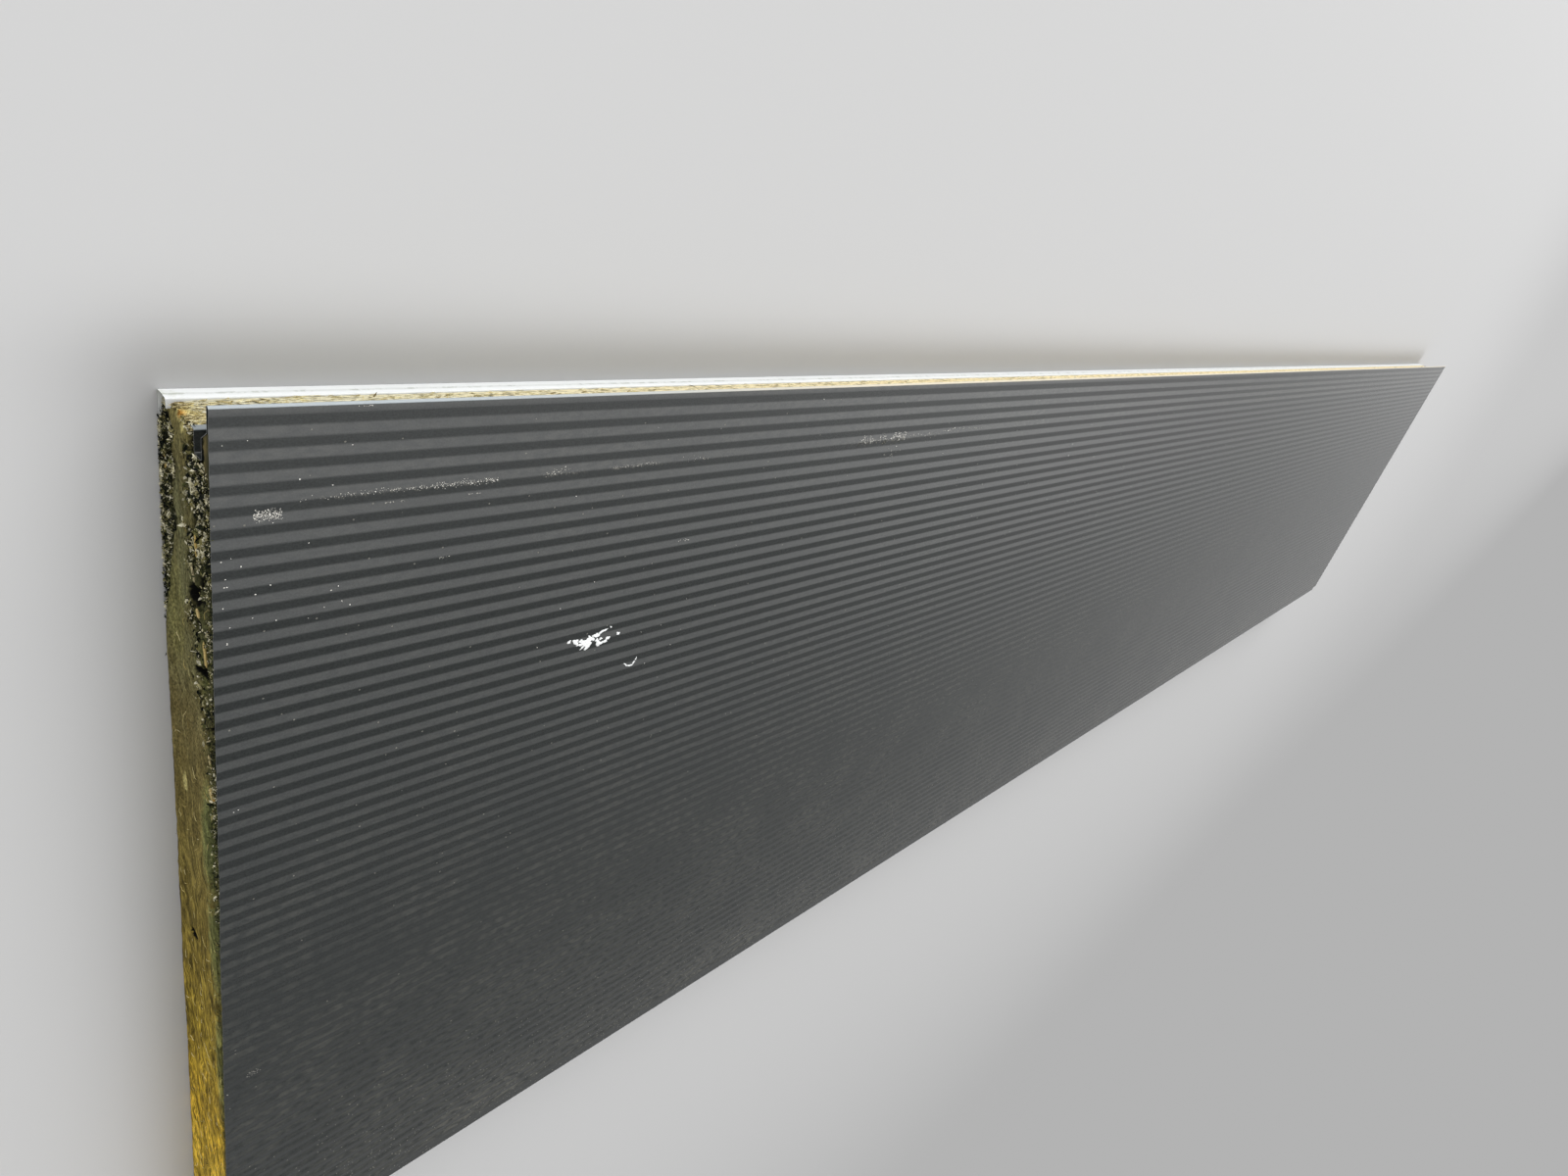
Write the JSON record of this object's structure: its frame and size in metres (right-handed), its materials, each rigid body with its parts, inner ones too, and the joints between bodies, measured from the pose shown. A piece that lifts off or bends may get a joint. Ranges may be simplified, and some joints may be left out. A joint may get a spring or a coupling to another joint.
{
  "type": "sandwich wall panel",
  "caption": "Insulated wall panel: micro-ribbed outer steel sheet with a groove and a tongue edge, mineral wool core, flat flanged inner steel sheet.",
  "frame": {"origin": "centre of the bounding box in X and Y, on the flat inner sheet's bare face, which lies on the floor", "axes": "+X along the panel away from the end that was cut on site, +Y across it towards the groove edge, +Z out of the ribbed outer face"},
  "size_m": [5, 1.196, 0.1],
  "materials": {
    "dark_coating": "satin",
    "wool": "fibrous, weathered",
    "white_coating": "satin"
  },
  "bodies": {
    "root": {"outer_skin": "dark_coating", "mineral_wool_core": "wool", "inner_skin": "white_coating"}
  },
  "joints": []
}
